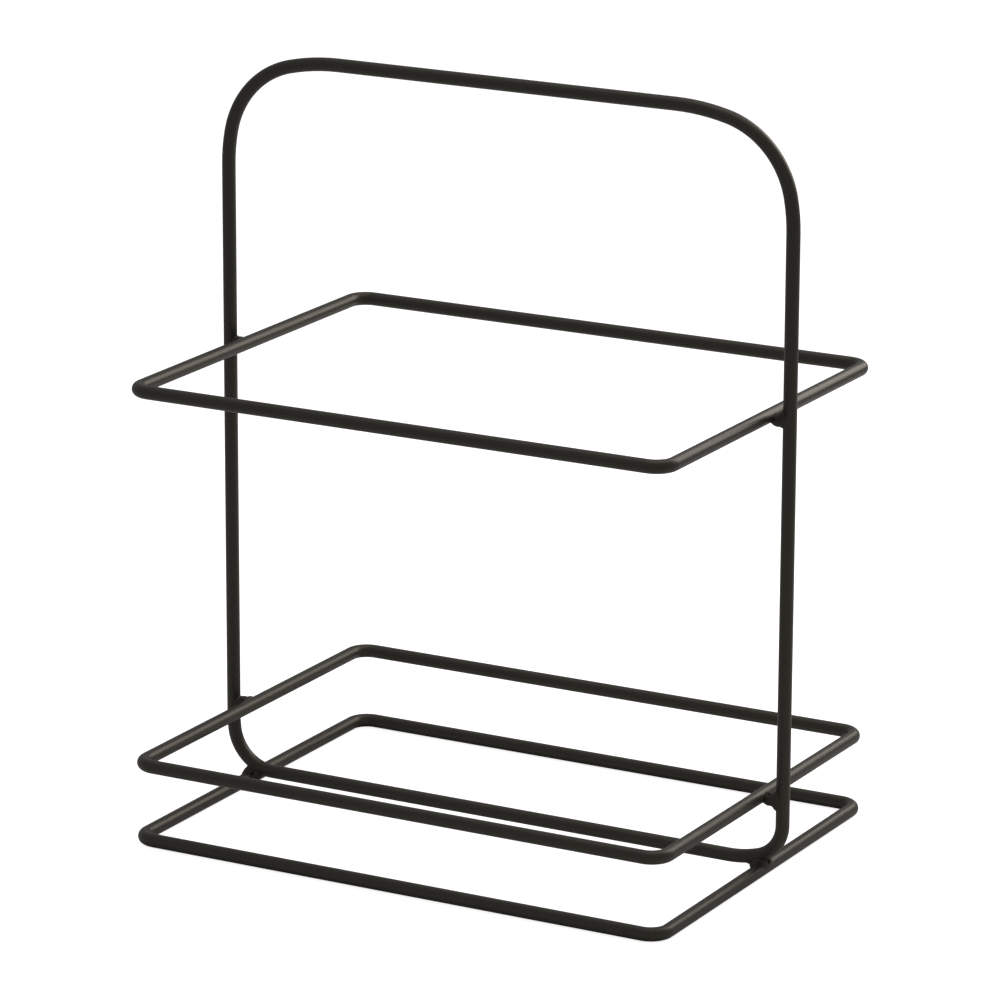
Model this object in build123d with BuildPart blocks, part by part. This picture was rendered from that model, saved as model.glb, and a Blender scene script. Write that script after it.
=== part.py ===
"""Two-tier carrier bent from round rod.

One tall closed hoop stands on edge in the plane Y = 0. Its top run is the handle, its sides are the
uprights and its bottom run ties the base. Three level rectangular rings lie inside it: one on the
floor, one just above the hoop's foot bends and one higher up. A weld bead joins each of a ring's two
side bars to the hoop beside it.

Millimetres. Origin on the floor under the middle of the frame, +X right, +Y to the rear, +Z up.
"""

import os
from math import cos, radians, sin

from build123d import *

# Rod
rod = 6.0

# Rings, measured outside; heights are the rod's middle above the floor
ring_width = 259.2
ring_depth = 198.0
ring_inner_bend = 5.0
upper_height = 203.0
lower_height = 36.5

# Hoop
side_gap = 3.5
total_height = 333.6
foot_clearance = 3.85
quarter_turn = 90.0

# Shoulders: the bend starts gently on the upright and fades out slowly into the grip
upright_ease_inner_bend = 75.0
shoulder_inner_bend = 37.0
grip_ease_inner_bend = 97.0
upright_ease_turn = 11.0
grip_ease_turn = 14.0

# Feet: going round clockwise, each bend starts tight and fades out, at the right foot into the
# bottom run and at the left foot into the upright
right_foot_inner_bend = 12.8
left_foot_inner_bend = 16.8
foot_ease_inner_bend = 43.0
right_foot_ease_turn = 18.0
left_foot_ease_turn = 8.0

# Weld beads: long on the ring's bar, tall on the hoop, drawn in between the two on the uprights and
# swollen where the foot bends lie close over the base ring
weld_bar_length = 9.6
weld_hoop_height = 10.4
weld_hollow = 0.5
weld_swell = 0.3
weld_sag = 1.15
weld_root_share = 0.85

# Middle lines of the rods
rod_radius = rod / 2
ring_half_width = (ring_width - rod) / 2
ring_half_depth = (ring_depth - rod) / 2
ring_bend = ring_inner_bend + rod_radius
base_height = rod_radius
hoop_half_width = ring_half_width + rod + side_gap
grip_height = total_height - rod_radius
foot_height = foot_clearance + rod_radius

# Tangent arcs of each bend in clockwise order round the hoop, as radius and turn
right_shoulder = [
    (grip_ease_inner_bend + rod_radius, grip_ease_turn),
    (shoulder_inner_bend + rod_radius, quarter_turn - grip_ease_turn - upright_ease_turn),
    (upright_ease_inner_bend + rod_radius, upright_ease_turn),
]
left_shoulder = right_shoulder[::-1]
right_foot = [
    (right_foot_inner_bend + rod_radius, quarter_turn - right_foot_ease_turn),
    (foot_ease_inner_bend + rod_radius, right_foot_ease_turn),
]
left_foot = [
    (left_foot_inner_bend + rod_radius, quarter_turn - left_foot_ease_turn),
    (foot_ease_inner_bend + rod_radius, left_foot_ease_turn),
]

# Half sizes of a weld bead on the middle line of each rod, where its root is narrower than the rod
weld_root = weld_root_share * rod_radius
weld_bar_half = weld_bar_length / 2
weld_hoop_half = weld_hoop_height / 2


def bend_reach(arcs):
    """How far a bend reaches along the heading that it starts with, and across that heading."""
    along = 0
    across = 0
    turned = 0
    for radius, turn in arcs:
        along += radius * (sin(radians(turned + turn)) - sin(radians(turned)))
        across += radius * (cos(radians(turned)) - cos(radians(turned + turn)))
        turned += turn
    return along, across


def follow_bend(run, arcs):
    """Carries a run on through a bend's tangent arcs, clockwise, and gives the last of them."""
    for radius, turn in arcs:
        run = JernArc(start=run @ 1, tangent=run % 1, radius=radius, arc_size=-turn)
    return run


def flank_profile(reach, bar_half, hoop_half, hollow, sag):
    """A bead's outline from the bar's middle to the hoop's middle, hollow along both flanks."""
    waist = (bar_half + hoop_half) / 2 - hollow
    upper = ThreePointArc((0, bar_half), (reach / 2, waist - sag / 2), (reach, hoop_half - sag))
    lower = ThreePointArc((0, -bar_half), (reach / 2, -waist - sag / 2), (reach, -hoop_half - sag))
    Line(upper @ 1, lower @ 1)
    Line(lower @ 0, upper @ 0)


os.makedirs("parts", exist_ok=True)

# Carrying hoop: its middle line drawn clockwise from the left end of the grip, then swept
shoulder_run, shoulder_drop = bend_reach(right_shoulder)
right_foot_drop, right_foot_run = bend_reach(right_foot)
left_foot_run, left_foot_rise = bend_reach(left_foot)
grip_end = hoop_half_width - shoulder_run
with BuildPart() as handle_hoop:
    with BuildLine(Plane.XZ) as hoop_path:
        run = Line((-grip_end, grip_height), (grip_end, grip_height))
        run = follow_bend(run, right_shoulder)
        run = Line(run @ 1, (hoop_half_width, foot_height + right_foot_drop))
        run = follow_bend(run, right_foot)
        run = Line(run @ 1, (left_foot_run - hoop_half_width, foot_height))
        run = follow_bend(run, left_foot)
        run = Line(run @ 1, (-hoop_half_width, grip_height - shoulder_drop))
        run = follow_bend(run, left_shoulder)
    hoop_wire = hoop_path.wires()[0]
    with BuildSketch(Plane(origin=hoop_wire @ 0, z_dir=hoop_wire % 0)):
        Circle(rod_radius)
    sweep(path=hoop_wire)
handle_hoop.part.label = "handle_hoop"

# Tier rings and base ring: the same rounded rectangle at three heights
rings = {}
ring_heights = {
    "upper_tier_ring": upper_height,
    "lower_tier_ring": lower_height,
    "base_ring": base_height,
}
for name, height in ring_heights.items():
    with BuildPart() as ring:
        with BuildLine(Plane.XY.offset(height)) as ring_path:
            FilletPolyline(
                (-ring_half_width, -ring_half_depth),
                (ring_half_width, -ring_half_depth),
                (ring_half_width, ring_half_depth),
                (-ring_half_width, ring_half_depth),
                radius=ring_bend,
                close=True,
            )
        ring_wire = ring_path.wires()[0]
        with BuildSketch(Plane(origin=ring_wire @ 0, z_dir=ring_wire % 0)):
            Circle(rod_radius)
        sweep(path=ring_wire)
    ring.part.label = name
    rings[name] = ring.part

# Weld beads: where two crossed profiles meet, one along the hoop and one along the bar, cut back
# to the faces of both rods. On the uprights the metal has sagged before it set.
welds = []
bead_seats = {
    "weld_upper": ("upper_tier_ring", weld_hollow, weld_sag),
    "weld_lower": ("lower_tier_ring", weld_hollow, weld_sag),
    "weld_base": ("base_ring", -weld_swell, 0),
}
for bead_name, (ring_name, hollow, sag) in bead_seats.items():
    for side_name, side in {"left": -1, "right": 1}.items():
        bar_middle = Vector(side * ring_half_width, 0, ring_heights[ring_name])
        hoop_middle = hoop_wire.closest_points(bar_middle)[0]
        reach = hoop_middle - bar_middle
        along_hoop = Plane(origin=bar_middle, x_dir=reach, z_dir=(0, -side, 0))
        along_bar = Plane(origin=bar_middle, x_dir=reach, z_dir=along_hoop.y_dir)
        with BuildPart() as weld:
            with BuildSketch(along_hoop):
                with BuildLine():
                    flank_profile(reach.length, weld_root, weld_hoop_half, hollow, sag)
                make_face()
            extrude(amount=weld_bar_half, both=True)
            with BuildSketch(along_bar):
                with BuildLine():
                    flank_profile(reach.length, weld_bar_half, weld_root, hollow, 0)
                make_face()
            extrude(amount=weld_hoop_half + sag, both=True, mode=Mode.INTERSECT)
            add(rings[ring_name], mode=Mode.SUBTRACT)
            add(handle_hoop.part, mode=Mode.SUBTRACT)
        weld.part.label = f"{bead_name}_{side_name}"
        welds.append(weld.part)

for piece in [handle_hoop.part, *rings.values(), *welds]:
    export_step(piece, f"parts/{piece.label}.step")
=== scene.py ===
from math import cos, pi, radians, sin

import bpy
from mathutils import Matrix, Vector


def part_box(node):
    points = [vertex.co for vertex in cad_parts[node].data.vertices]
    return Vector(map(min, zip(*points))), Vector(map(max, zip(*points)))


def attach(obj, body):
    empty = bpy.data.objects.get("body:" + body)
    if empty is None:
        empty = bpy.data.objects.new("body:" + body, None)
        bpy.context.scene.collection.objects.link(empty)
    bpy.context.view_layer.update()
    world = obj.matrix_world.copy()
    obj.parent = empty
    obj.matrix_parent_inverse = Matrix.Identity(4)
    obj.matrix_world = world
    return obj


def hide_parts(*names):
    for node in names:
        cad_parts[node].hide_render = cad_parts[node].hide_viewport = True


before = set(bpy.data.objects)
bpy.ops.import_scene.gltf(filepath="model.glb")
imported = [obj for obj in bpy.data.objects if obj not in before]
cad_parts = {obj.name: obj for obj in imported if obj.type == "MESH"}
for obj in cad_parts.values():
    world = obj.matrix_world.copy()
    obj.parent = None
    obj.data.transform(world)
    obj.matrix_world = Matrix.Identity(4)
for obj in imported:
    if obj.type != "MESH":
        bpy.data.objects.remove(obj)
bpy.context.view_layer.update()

MM = 0.001

# Rod and loops, read from the CAD nodes
hoop_low, hoop_high = (Vector(corner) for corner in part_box("handle_hoop"))
ring_boxes = {name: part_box(name) for name in ("upper_tier_ring", "lower_tier_ring", "base_ring")}
ring_low, ring_high = (Vector(corner) for corner in ring_boxes["upper_tier_ring"])
ROD = (hoop_high.y - hoop_low.y) / 2
HOOP_SIDE = hoop_high.x - ROD
GRIP_HEIGHT = hoop_high.z - ROD
FOOT_HEIGHT = hoop_low.z + ROD
RING_SIDE = ring_high.x - ROD
RING_FRONT = ring_high.y - ROD
RING_HEIGHTS = {name: (low[2] + high[2]) / 2 for name, (low, high) in ring_boxes.items()}

# Bends on the rod's middle line; the hoop's in clockwise order, as radius and turn of each arc
QUARTER = pi / 2
RING_BEND = 8 * MM
RIGHT_SHOULDER = (
    (100 * MM, radians(14)),
    (40 * MM, radians(65)),
    (78 * MM, radians(11)),
)
LEFT_SHOULDER = RIGHT_SHOULDER[::-1]
RIGHT_FOOT = (
    (15.8 * MM, radians(72)),
    (46 * MM, radians(18)),
)
LEFT_FOOT = (
    (19.8 * MM, radians(82)),
    (46 * MM, radians(8)),
)

# Mesh density: sides round the rod, the turn of one step along a bend, and what counts as touching
ROD_SIDES = 48
RING_STEP = radians(5)
HOOP_STEP = radians(2.5)
SEAM = 0.01 * MM

# Weld beads: sides and rings of a lump before it melts, size of the remesh and of the ripples
LUMP_SIDES = 32
LUMP_RINGS = 20
BEAD_VOXEL = 0.22 * MM
BEAD_GRAIN = 1.5 * MM
SMOOTH_FACTOR = 0.5
PIT_SMOOTHING = 4

# Powder coat: fresh and worn colour, how fine its clouds, specks and peel are, and their shares
COAT_COLOUR = (0.0265, 0.0250, 0.0222, 1)
COAT_COLOUR_WORN = (0.0315, 0.0300, 0.0265, 1)
COAT_SPECULAR_TINT = (1.0, 0.87, 0.70, 1)
COAT_IOR = 1.5
CLOUD_SCALE = 22.0
SPECK_SCALE = 900.0
PEEL_SCALE = 1500.0
PEEL_STRENGTH = 0.6
CLOUD_SHARE = 0.7
SPECK_SHARE = 0.3
CLOUD_ROUGHNESS = 0.06
SPECK_ROUGHNESS = 0.05

# Studio: floor, world level for all but the camera, and panels aimed at the frame's middle, each
# with its direction, distance, size, brightness and colour
FLOOR_SIZE = 12
FLOOR_COLOUR = (0.70, 0.70, 0.70, 1)
FLOOR_GLOW = 0.85
WORLD_LEVEL = 0.30
AIM = Vector((0, 0, 0.15))
PANELS = {
    "rear panel": ((0.36, 0.77, 0.54), 0.9, 0.62, 3.0, (1.0, 0.955, 0.90)),
    "overhead panel": ((0.0, 0.15, 1.0), 2.4, 2.0, 0.95, (1.0, 1.0, 1.0)),
}

# Camera, from the photograph's perspective
CAMERA_AZIMUTH = radians(28.653)
CAMERA_TILT = radians(15.7515)
CAMERA_ROLL = radians(0.231)
CAMERA_PLACE = Vector((1.1123, -2.0378, 0.8036))
CAMERA_LENS = 202.1
CAMERA_SENSOR = 36
CAMERA_REACH = 50


def deselect():
    """Nothing is selected or active, so that the next operator sees only what it adds."""
    bpy.ops.object.select_all(action="DESELECT")
    bpy.context.view_layer.objects.active = None


def finish_piece(piece, name, material, slot, *nodes):
    """Names the piece, clears its transform into the mesh and ties it to the frame."""
    deselect()
    piece.select_set(True)
    bpy.context.view_layer.objects.active = piece
    bpy.ops.object.transform_apply(location=True, rotation=True, scale=True)
    piece.name = name
    piece.data.name = name
    piece.data.materials.clear()
    piece.data.materials.append(material)
    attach(piece, "root")
    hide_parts(*nodes)
    return piece


# Bent rod


def start_rod(place, heading):
    """A round section of the rod at the start of its first run, left in edit mode."""
    deselect()
    turn = Vector(heading).to_track_quat("Z", "Y").to_euler()
    bpy.ops.mesh.primitive_circle_add(vertices=ROD_SIDES, radius=ROD, location=place, rotation=turn)
    rod = bpy.context.object
    bpy.ops.object.transform_apply(location=True, rotation=True, scale=True)
    bpy.ops.object.mode_set(mode="EDIT")
    bpy.ops.mesh.select_all(action="SELECT")
    return rod


def draw_run(move):
    """Draws the end section out along a straight run."""
    bpy.ops.mesh.extrude_region_move(TRANSFORM_OT_translate={"value": move})


def draw_bend(centre, axis, turn, step):
    """Draws the end section round a bend, anticlockwise about its axis, where spin turns clockwise."""
    steps = max(1, round(turn / step))
    bpy.ops.mesh.spin(steps=steps, angle=-turn, center=centre, axis=axis)


def close_rod():
    """Joins the last section to the first, so that the loop has no ends."""
    bpy.ops.mesh.select_all(action="SELECT")
    bpy.ops.mesh.remove_doubles(threshold=SEAM)
    bpy.ops.mesh.normals_make_consistent(inside=False)
    bpy.ops.object.mode_set(mode="OBJECT")
    bpy.ops.object.shade_smooth()


def bend_ring(height):
    """A level rectangle, drawn anticlockwise from the middle of its front run."""
    side = RING_SIDE - RING_BEND
    front = RING_FRONT - RING_BEND
    rod = start_rod((0, -RING_FRONT, height), (1, 0, 0))
    corners = ((side, -front), (side, front), (-side, front), (-side, -front))
    runs = ((side, 0, 0), (0, 2 * front, 0), (-2 * side, 0, 0), (0, -2 * front, 0))
    for corner, run in zip(corners, runs):
        draw_run(run)
        draw_bend((*corner, height), (0, 0, 1), QUARTER, RING_STEP)
    draw_run((side, 0, 0))
    close_rod()
    return rod


def bend_reach(arcs):
    """How far a bend reaches along the heading that it starts with, and across that heading."""
    along = across = turned = 0
    for radius, turn in arcs:
        along += radius * (sin(turned + turn) - sin(turned))
        across += radius * (cos(turned) - cos(turned + turn))
        turned += turn
    return along, across


def follow_bend(place, heading, arcs):
    """Carries the rod on from a place through a bend's arcs, clockwise in the plane of the hoop."""
    for radius, turn in arcs:
        centre = place + radius * Vector((sin(heading), 0, -cos(heading)))
        draw_bend(centre, (0, 1, 0), turn, HOOP_STEP)
        heading -= turn
        place = centre + radius * Vector((-sin(heading), 0, cos(heading)))


def bend_hoop():
    """The hoop, drawn clockwise as seen from the front, from the middle of its grip."""
    shoulder_run, shoulder_drop = bend_reach(RIGHT_SHOULDER)
    right_drop, right_run = bend_reach(RIGHT_FOOT)
    left_run, left_rise = bend_reach(LEFT_FOOT)
    grip_half = HOOP_SIDE - shoulder_run
    upright_top = GRIP_HEIGHT - shoulder_drop
    upright_end = FOOT_HEIGHT + right_drop
    foot_end = left_run - HOOP_SIDE
    upright_start = FOOT_HEIGHT + left_rise
    rod = start_rod((0, 0, GRIP_HEIGHT), (1, 0, 0))
    draw_run((grip_half, 0, 0))
    follow_bend(Vector((grip_half, 0, GRIP_HEIGHT)), 0, RIGHT_SHOULDER)
    draw_run((0, 0, upright_end - upright_top))
    follow_bend(Vector((HOOP_SIDE, 0, upright_end)), -QUARTER, RIGHT_FOOT)
    draw_run((foot_end - (HOOP_SIDE - right_run), 0, 0))
    follow_bend(Vector((foot_end, 0, FOOT_HEIGHT)), -2 * QUARTER, LEFT_FOOT)
    draw_run((0, 0, upright_top - upright_start))
    follow_bend(Vector((-HOOP_SIDE, 0, upright_top)), -3 * QUARTER, LEFT_SHOULDER)
    draw_run((grip_half, 0, 0))
    close_rod()
    return rod


# Weld beads


def bead_axes(hoop, bar):
    """A bead's own axes from a point of the ring's bar, and its reach to the hoop's middle line.

    They run from the bar to the hoop, to the rear, and across: up beside an upright, and towards
    the middle of the frame under a foot bend.
    """
    found, skin, normal, face = hoop.closest_point_on_mesh(bar)
    along = (skin - bar).normalized()
    rear = Vector((0, 1, 0))
    across = along.cross(rear)
    if bar.x < 0:
        across.negate()
    axes = Matrix((along, rear, across)).transposed().to_4x4()
    axes.translation = bar
    return axes, (skin - bar).length + ROD


def add_lump(axes, spot, halves):
    """One rounded lump at its place and half sizes on the bead's axes."""
    bpy.ops.mesh.primitive_uv_sphere_add(segments=LUMP_SIDES, ring_count=LUMP_RINGS, radius=1)
    lump = bpy.context.object
    lump.matrix_world = axes @ Matrix.Translation(spot) @ Matrix.Diagonal((*halves, 1))
    bpy.ops.object.transform_apply(location=True, rotation=True, scale=True)
    bpy.ops.object.mode_set(mode="EDIT")
    bpy.ops.mesh.select_all(action="SELECT")
    bpy.ops.mesh.normals_make_consistent(inside=False)
    bpy.ops.object.mode_set(mode="OBJECT")
    return lump


def add_lumps(axes, reach, places):
    """Rounded lumps, each at a share of the reach and at millimetres to the rear and across."""
    made = []
    for share, rear, across, *halves in places:
        deselect()
        spot = Vector((share * reach, rear * MM, across * MM))
        made.append(add_lump(axes, spot, [half * MM for half in halves]))
    return made


def apply_modifier(piece, kind, **settings):
    """Adds a modifier with its settings to the active piece and applies it."""
    modifier = piece.modifiers.new(kind.lower(), kind)
    for key, value in settings.items():
        setattr(modifier, key, value)
    bpy.ops.object.modifier_apply(modifier=modifier.name)


def join_lumps(lumps):
    """Several lumps as one object, melted together by a fine remesh."""
    deselect()
    for lump in lumps:
        lump.select_set(True)
    whole = lumps[0]
    bpy.context.view_layer.objects.active = whole
    bpy.ops.object.join()
    apply_modifier(whole, "REMESH", mode="VOXEL", voxel_size=BEAD_VOXEL)
    return whole


def lay_bead(hoop, ring, side, ripple, smoothing, lumps, pits):
    """Lumps of weld metal between a bar and the hoop, melted into one bead with its pits and ripples.

    A lump or pit is a share of the reach, millimetres to the rear and across, and its half sizes.
    """
    bar = Vector((side * RING_SIDE, 0, RING_HEIGHTS[ring]))
    axes, reach = bead_axes(hoop, bar)
    bead = join_lumps(add_lumps(axes, reach, lumps))
    apply_modifier(bead, "SMOOTH", factor=SMOOTH_FACTOR, iterations=smoothing)
    for pit in add_lumps(axes, reach, pits):
        deselect()
        bead.select_set(True)
        bpy.context.view_layer.objects.active = bead
        apply_modifier(bead, "BOOLEAN", operation="DIFFERENCE", solver="EXACT", object=pit)
        bpy.data.objects.remove(pit)
    if pits:
        apply_modifier(bead, "REMESH", mode="VOXEL", voxel_size=BEAD_VOXEL)
        apply_modifier(bead, "SMOOTH", factor=SMOOTH_FACTOR, iterations=PIT_SMOOTHING)
    grain = bpy.data.textures.new("weld grain", "CLOUDS")
    grain.noise_scale = BEAD_GRAIN
    apply_modifier(bead, "DISPLACE", texture=grain, strength=ripple, mid_level=0.5)
    bpy.ops.object.shade_smooth()
    return bead


# Materials


class Sock:
    """A socket of a material that can be used in sums."""

    def __init__(self, material, socket):
        self.material = material
        self.socket = socket

    def _sum(self, operation, first, second):
        return self.material.node("ShaderNodeMath", {"operation": operation}, {0: first, 1: second})

    def __add__(self, other):
        return self._sum("ADD", self, other)

    def __sub__(self, other):
        return self._sum("SUBTRACT", self, other)

    def __rsub__(self, other):
        return self._sum("SUBTRACT", other, self)

    def __mul__(self, other):
        return self._sum("MULTIPLY", self, other)

    __radd__ = __add__
    __rmul__ = __mul__


class Finish:
    """A node material and the one method that adds its nodes."""

    def __init__(self, name):
        self.material = bpy.data.materials.new(name)
        self.material.use_nodes = True
        self.tree = self.material.node_tree
        self.tree.nodes.clear()

    def node(self, kind, settings=None, values=None, output=0):
        made = self.tree.nodes.new(kind)
        for key, value in (settings or {}).items():
            setattr(made, key, value)
        for key, value in (values or {}).items():
            if isinstance(value, Sock):
                self.tree.links.new(value.socket, made.inputs[key])
            else:
                made.inputs[key].default_value = value
        return Sock(self, made.outputs[output]) if made.outputs else None


def powder_coat(name, painted_shade_factor, roughness, peel_depth):
    """Satin powder coat: a near-black warm brown, darkened by the painted shade factor, with a fine
    orange peel.
    """
    coat = Finish(name)
    plain, worn = ((*(part * painted_shade_factor for part in full[:3]), 1) for full in (COAT_COLOUR, COAT_COLOUR_WORN))
    place = coat.node("ShaderNodeTexCoord", output="Object")
    cloud = coat.node("ShaderNodeTexNoise", None, {"Vector": place, "Scale": CLOUD_SCALE, "Detail": 3.0})
    speck = coat.node("ShaderNodeTexNoise", None, {"Vector": place, "Scale": SPECK_SCALE, "Detail": 2.0})
    peel = coat.node("ShaderNodeTexNoise", None, {"Vector": place, "Scale": PEEL_SCALE, "Detail": 1.0})
    colour = coat.node(
        "ShaderNodeMix",
        {"data_type": "RGBA"},
        {"Factor": cloud * CLOUD_SHARE + speck * SPECK_SHARE, "A": plain, "B": worn},
        output="Result",
    )
    bump = coat.node(
        "ShaderNodeBump",
        None,
        {"Height": peel, "Strength": PEEL_STRENGTH, "Distance": peel_depth},
    )
    uneven = (cloud - 0.5) * CLOUD_ROUGHNESS + (speck - 0.5) * SPECK_ROUGHNESS
    shader = coat.node(
        "ShaderNodeBsdfPrincipled",
        None,
        {
            "Base Color": colour,
            "Roughness": roughness + uneven,
            "Specular Tint": COAT_SPECULAR_TINT,
            "IOR": COAT_IOR,
            "Normal": bump,
        },
    )
    coat.node("ShaderNodeOutputMaterial", None, {"Surface": shader})
    return coat.material


def white_floor():
    """A matt white floor that the camera sees a little brighter, with the frame's shadow kept."""
    floor = Finish("white floor")
    matt = floor.node("ShaderNodeBsdfDiffuse", None, {"Color": FLOOR_COLOUR})
    seen = floor.node("ShaderNodeLightPath", output="Is Camera Ray")
    glow = floor.node("ShaderNodeEmission", None, {"Color": (1, 1, 1, 1), "Strength": seen * FLOOR_GLOW})
    both = floor.node("ShaderNodeAddShader", None, {0: matt, 1: glow})
    floor.node("ShaderNodeOutputMaterial", None, {"Surface": both})
    return floor.material


# Studio


def white_world():
    """Even light from all round, seen as plain white by the camera."""
    world = bpy.data.worlds.new("studio")
    world.use_nodes = True
    tree = world.node_tree
    tree.nodes.clear()
    seen = tree.nodes.new("ShaderNodeLightPath")
    level = tree.nodes.new("ShaderNodeMapRange")
    level.inputs["To Min"].default_value = WORLD_LEVEL
    level.inputs["To Max"].default_value = 1.0
    light = tree.nodes.new("ShaderNodeBackground")
    output = tree.nodes.new("ShaderNodeOutputWorld")
    tree.links.new(seen.outputs["Is Camera Ray"], level.inputs["Value"])
    tree.links.new(level.outputs["Result"], light.inputs["Strength"])
    tree.links.new(light.outputs["Background"], output.inputs["Surface"])
    light.inputs["Color"].default_value = (1, 1, 1, 1)
    bpy.context.scene.world = world


def panel(name, direction, distance, size, brightness, colour):
    """A square light panel whose face has this brightness, where 1 is white."""
    lamp = bpy.data.lights.new(name, "AREA")
    lamp.shape = "SQUARE"
    lamp.size = size
    lamp.energy = brightness * pi * size * size
    lamp.color = colour
    holder = bpy.data.objects.new(name, lamp)
    heading = Vector(direction).normalized()
    holder.location = AIM + heading * distance
    holder.rotation_euler = heading.to_track_quat("Z", "Y").to_euler()
    holder.visible_camera = False
    bpy.context.collection.objects.link(holder)


def lay_floor():
    """The floor under the frame, which is stage and not part of it."""
    deselect()
    bpy.ops.mesh.primitive_plane_add(size=FLOOR_SIZE)
    floor = bpy.context.object
    floor.name = "floor"
    floor.data.materials.append(white_floor())


def set_camera():
    """A long lens at the place that the photograph was taken from."""
    lens = bpy.data.cameras.new("camera")
    lens.sensor_width = CAMERA_SENSOR
    lens.lens = CAMERA_LENS
    lens.clip_end = CAMERA_REACH
    camera = bpy.data.objects.new("camera", lens)
    turn = Matrix.Rotation(CAMERA_AZIMUTH, 3, "Z") @ Matrix.Rotation(QUARTER - CAMERA_TILT, 3, "X")
    camera.rotation_euler = (turn @ Matrix.Rotation(CAMERA_ROLL, 3, "Z")).to_euler()
    camera.location = CAMERA_PLACE
    bpy.context.collection.objects.link(camera)
    bpy.context.scene.camera = camera


# Assembly

rod_coat = powder_coat("powder coat on rod", 1.0, 0.40, 0.02 * MM)
# The weld's coat is the rod's coat at three quarters brightness: painted shade on the welds in the
# crotches between bars and hoop
weld_coat_with_painted_shade = powder_coat("powder coat on weld with painted shade", 0.75, 0.52, 0.05 * MM)

hoop = finish_piece(bend_hoop(), "bent_handle_hoop", rod_coat, "coated_rod", "handle_hoop")
first_ring = bend_ring(RING_HEIGHTS["base_ring"])
for ring in RING_HEIGHTS:
    deselect()
    bent = first_ring.copy()
    bent.data = first_ring.data.copy()
    bent.location.z = RING_HEIGHTS[ring] - RING_HEIGHTS["base_ring"]
    bpy.context.collection.objects.link(bent)
    finish_piece(bent, "bent_" + ring, rod_coat, "coated_rod", ring)
bpy.data.objects.remove(first_ring)

# Ring, side, ripple in millimetres, smoothing steps, lumps and pits of each bead, by its CAD node
BEADS = {
    "weld_upper_right": (
        "upper_tier_ring",
        1,
        0.06,
        60,
        (
            (0.00, -0.4, 0.0, 2.9, 6.0, 2.9),
            (1.00, 0.0, -0.8, 2.9, 2.9, 6.2),
            (0.48, -0.5, -1.3, 3.8, 3.1, 3.0),
            (0.76, -0.2, -0.8, 2.8, 3.0, 4.2),
        ),
        (),
    ),
    "weld_upper_left": (
        "upper_tier_ring",
        -1,
        0.12,
        14,
        (
            (0.50, 0.2, -1.1, 3.4, 3.4, 3.0),
            (0.24, 0.4, -0.7, 2.6, 5.2, 2.7),
            (0.76, 0.2, -1.3, 2.6, 2.9, 3.7),
        ),
        (),
    ),
    "weld_lower_right": (
        "lower_tier_ring",
        1,
        0.2,
        50,
        (
            (0.00, -0.6, 0.0, 2.9, 6.0, 2.9),
            (1.00, 0.0, -1.2, 2.9, 2.9, 7.0),
            (0.44, -1.7, -0.8, 4.0, 2.9, 3.2),
            (0.50, 0.6, -1.0, 3.8, 3.1, 2.7),
            (0.78, -0.8, -1.5, 2.6, 3.0, 4.8),
        ),
        (
            (0.44, -3.4, 1.8, 1.0, 1.0, 0.9),
        ),
    ),
    "weld_lower_left": (
        "lower_tier_ring",
        -1,
        0.2,
        14,
        (
            (0.50, 1.0, 0.2, 3.8, 3.2, 2.7),
            (0.24, 0.8, 0.5, 2.6, 5.0, 2.6),
            (0.50, -0.8, -1.0, 3.6, 2.8, 3.0),
            (0.78, 0.2, -0.7, 2.4, 2.9, 4.2),
        ),
        (),
    ),
    "weld_base_right": (
        "base_ring",
        1,
        0.3,
        40,
        (
            (0.00, 0.3, 0.0, 2.9, 6.4, 2.9),
            (1.00, 0.0, 0.6, 2.9, 2.9, 6.4),
            (0.50, -0.3, 0.0, 2.8, 3.6, 3.7),
            (0.42, -0.9, 1.9, 2.3, 3.4, 2.4),
            (0.70, 0.0, 4.0, 1.4, 2.6, 2.6),
            (0.44, 0.6, -2.5, 2.5, 4.4, 2.3),
            (0.14, 0.6, -0.1, 2.8, 6.4, 3.4),
        ),
        (
            (0.46, -0.4, -4.4, 1.0, 1.0, 1.0),
            (0.50, -3.7, -1.6, 0.8, 0.8, 0.8),
        ),
    ),
    "weld_base_left": (
        "base_ring",
        -1,
        0.3,
        22,
        (
            (0.00, -0.4, 0.0, 2.9, 6.2, 2.9),
            (1.00, 0.0, 0.0, 2.9, 2.9, 6.2),
            (0.50, -0.5, 0.2, 2.7, 3.3, 3.4),
            (0.14, -0.4, 0.1, 2.8, 6.9, 3.3),
            (0.36, -1.6, -2.0, 2.4, 3.8, 2.0),
            (0.16, -3.0, -1.7, 2.2, 3.6, 2.1),
            (0.40, -0.6, 2.4, 2.5, 4.0, 2.3),
            (0.84, -0.4, 0.0, 2.5, 3.3, 4.6),
        ),
        (
            (0.50, -3.9, 0.8, 0.8, 0.8, 0.8),
            (0.36, -3.7, 3.4, 0.7, 0.7, 0.7),
        ),
    ),
}
for node, (ring, side, ripple, smoothing, lumps, pits) in BEADS.items():
    bead = lay_bead(hoop, ring, side, ripple * MM, smoothing, lumps, pits)
    finish_piece(bead, node + "_bead", weld_coat_with_painted_shade, "coated_weld", node)

lay_floor()
white_world()
for name, (direction, distance, size, brightness, colour) in PANELS.items():
    panel(name, direction, distance, size, brightness, colour)
set_camera()
bpy.context.scene.view_settings.view_transform = "Standard"
